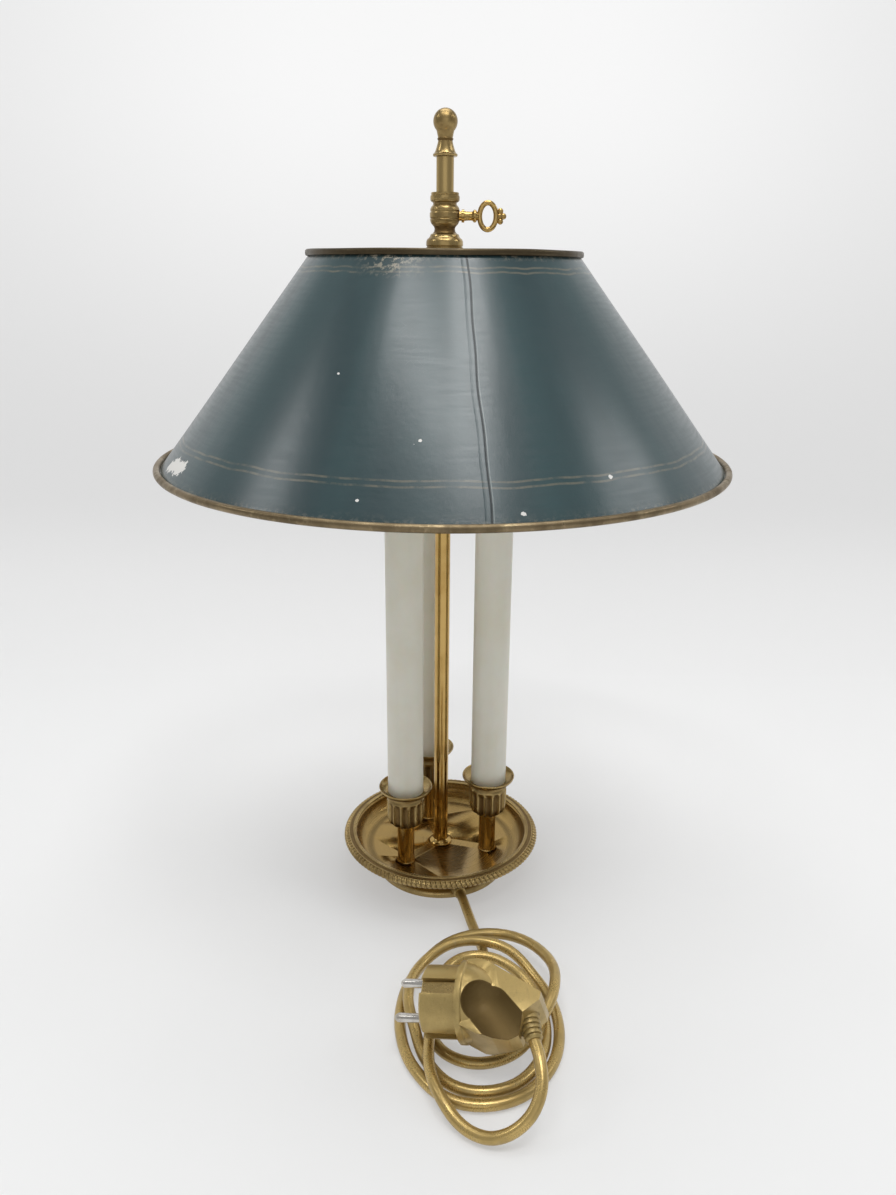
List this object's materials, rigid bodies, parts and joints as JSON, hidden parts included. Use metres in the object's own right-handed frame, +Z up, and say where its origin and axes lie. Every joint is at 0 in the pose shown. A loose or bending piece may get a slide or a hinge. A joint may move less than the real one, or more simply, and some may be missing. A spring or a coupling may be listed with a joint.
{
  "type": "bouillotte table lamp",
  "caption": "Brass table lamp with candle sleeves on a gadrooned dish tray, a painted metal cone shade that slides and turns on its stem, a key screw and a coiled mains lead with a plug.",
  "frame": {"origin": "on the stem's axis at the underside of the felt pad, where the lamp stands", "axes": "+Z up along the stem; +X towards the key of the shade's collar; the viewer of the picture is on the -Y side"},
  "size_m": [0.3499, 0.4184, 0.492],
  "materials": {
    "felt": "matt felt",
    "iron": "rough casting",
    "steel": "zinc plated",
    "white_plastic": "matt",
    "wire_brown": "matt insulation",
    "gold_pvc": "satin gold",
    "gold_plastic": "satin gold paint",
    "nickel": "nickel plate",
    "aged_brass": "aged, satin",
    "ivory_plastic": "satin",
    "bulb_glass": "opal",
    "shade_paint": "gloss paint with thin gold lines, pale inside",
    "rim_bronze": "bronzed, satin",
    "polished_brass": "polished and lacquered"
  },
  "bodies": {
    "stand": {"felt_pad": "felt", "base_foot": "polished_brass", "base_weight": "iron", "stem_nut": "steel", "stem_washer": "steel", "terminal_block": "white_plastic", "inner_leads": "wire_brown", "cord_bushing": "gold_plastic", "tray": "polished_brass", "tray_rim": "aged_brass", "stem": "polished_brass", "stem_seat": "polished_brass", "post_nuts": "steel", "post_1": "polished_brass", "post_2": "polished_brass", "post_3": "polished_brass", "candle_cup_1": "aged_brass", "candle_cup_2": "aged_brass", "candle_cup_3": "aged_brass", "candle_pipe_1": "steel", "candle_pipe_2": "steel", "candle_pipe_3": "steel", "lampholder_1": "white_plastic", "lampholder_2": "white_plastic", "lampholder_3": "white_plastic", "candle_sleeve_1": "ivory_plastic", "candle_sleeve_2": "ivory_plastic", "candle_sleeve_3": "ivory_plastic", "bulb_cap_1": "nickel", "bulb_cap_2": "nickel", "bulb_cap_3": "nickel", "bulb_glass_1": "bulb_glass", "bulb_glass_2": "bulb_glass", "bulb_glass_3": "bulb_glass", "finial": "aged_brass", "cord_lead": "gold_pvc", "cord_coil": "gold_pvc", "cord_tail": "gold_pvc", "plug_cable_sleeve": "gold_plastic", "plug_housing": "gold_plastic", "plug_face": "gold_plastic", "plug_pins": "nickel", "plug_earth_clips": "nickel"},
    "collar": {"collar": "aged_brass", "shade_ring_nut": "aged_brass"},
    "shade": {"shade_spider": "aged_brass", "shade": "shade_paint", "shade_top_rim": "rim_bronze", "shade_bottom_rim": "rim_bronze"},
    "key": {"key_screw": "polished_brass"}
  },
  "joints": [
    {"name": "shade_height", "type": "slide", "parent": "stand", "child": "collar", "axis": [0, 0, 1], "range_m": [-0.034, 0.0185]},
    {"name": "shade_turn", "type": "hinge", "parent": "collar", "child": "shade", "pos_m": [0, 0, 0.4143], "axis": [0, 0, 1], "continuous": true},
    {"name": "key_turn", "type": "hinge", "parent": "collar", "child": "key", "pos_m": [0, 0, 0.4357], "axis": [1, 0, 0], "range_deg": [0, 450]}
  ]
}
